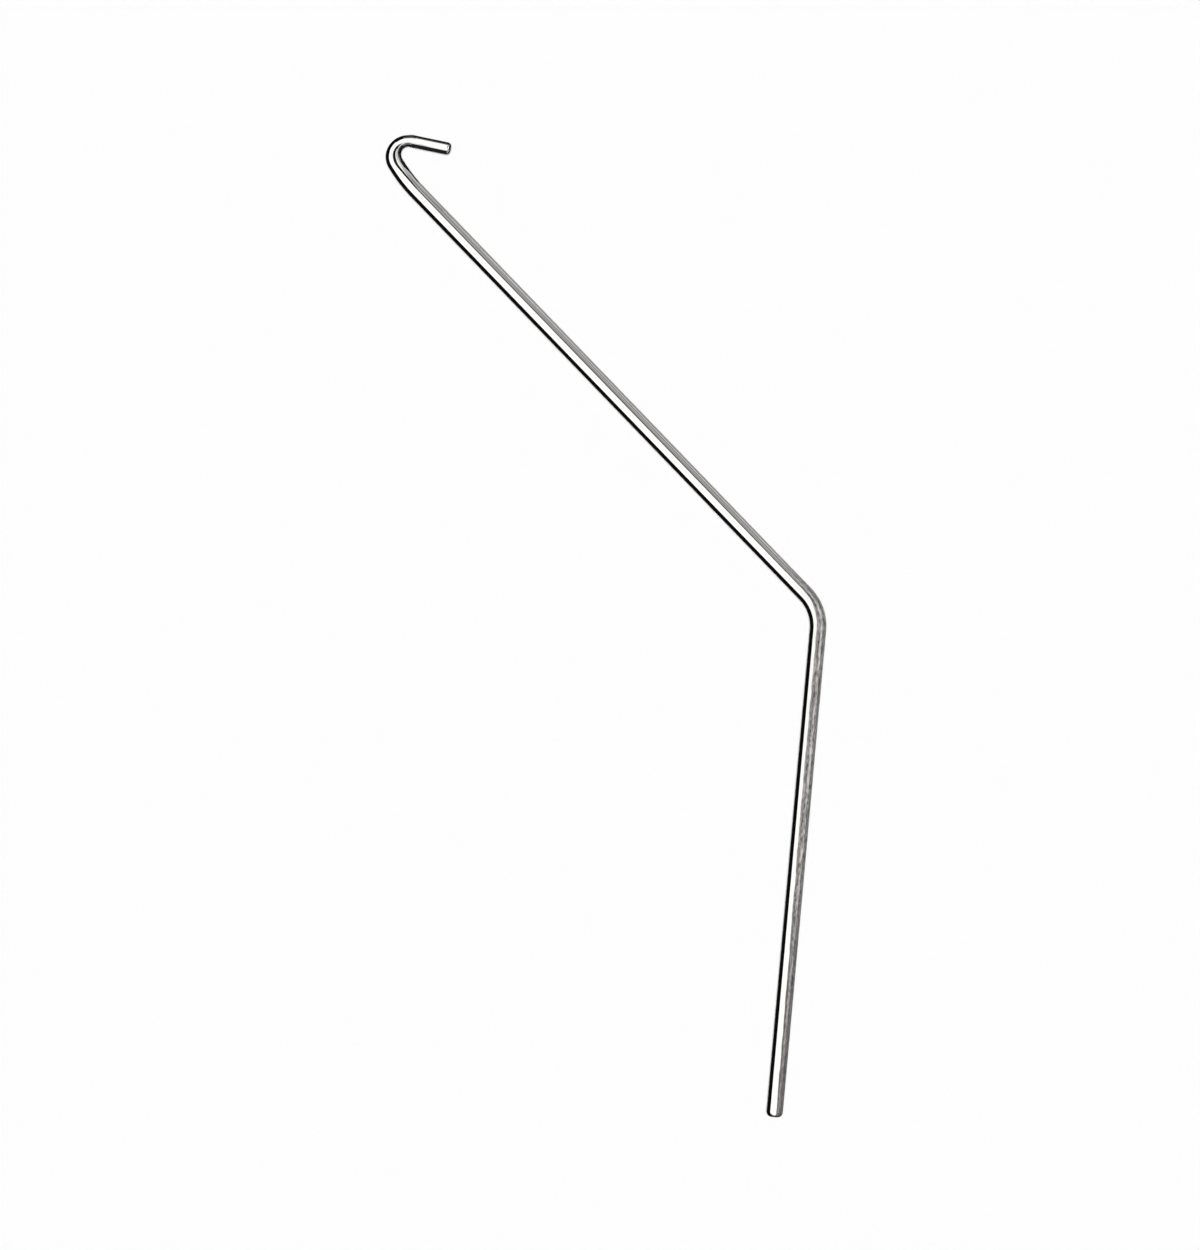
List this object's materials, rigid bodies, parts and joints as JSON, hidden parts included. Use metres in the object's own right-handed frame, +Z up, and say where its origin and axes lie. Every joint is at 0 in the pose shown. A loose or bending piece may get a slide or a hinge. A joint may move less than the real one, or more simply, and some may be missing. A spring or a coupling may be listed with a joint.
{
  "type": "refrigerator defrost drain heater",
  "caption": "Round aluminium rod bent flat: a tight hook clips over a defrost heater and a long straight leg carries its heat down into the drain.",
  "frame": {"origin": "middle of the rod's outline seen from above, on the surface that it lies on", "axes": "+Z up, square to the plane of the bends; -Y along the drain leg towards its free end; +X from the hook's side towards the drain leg"},
  "size_m": [0.1396, 0.2742, 0.0048],
  "materials": {
    "bright_aluminium": "bright drawn"
  },
  "bodies": {
    "root": {"drain_heat_rod": "bright_aluminium"}
  },
  "joints": []
}
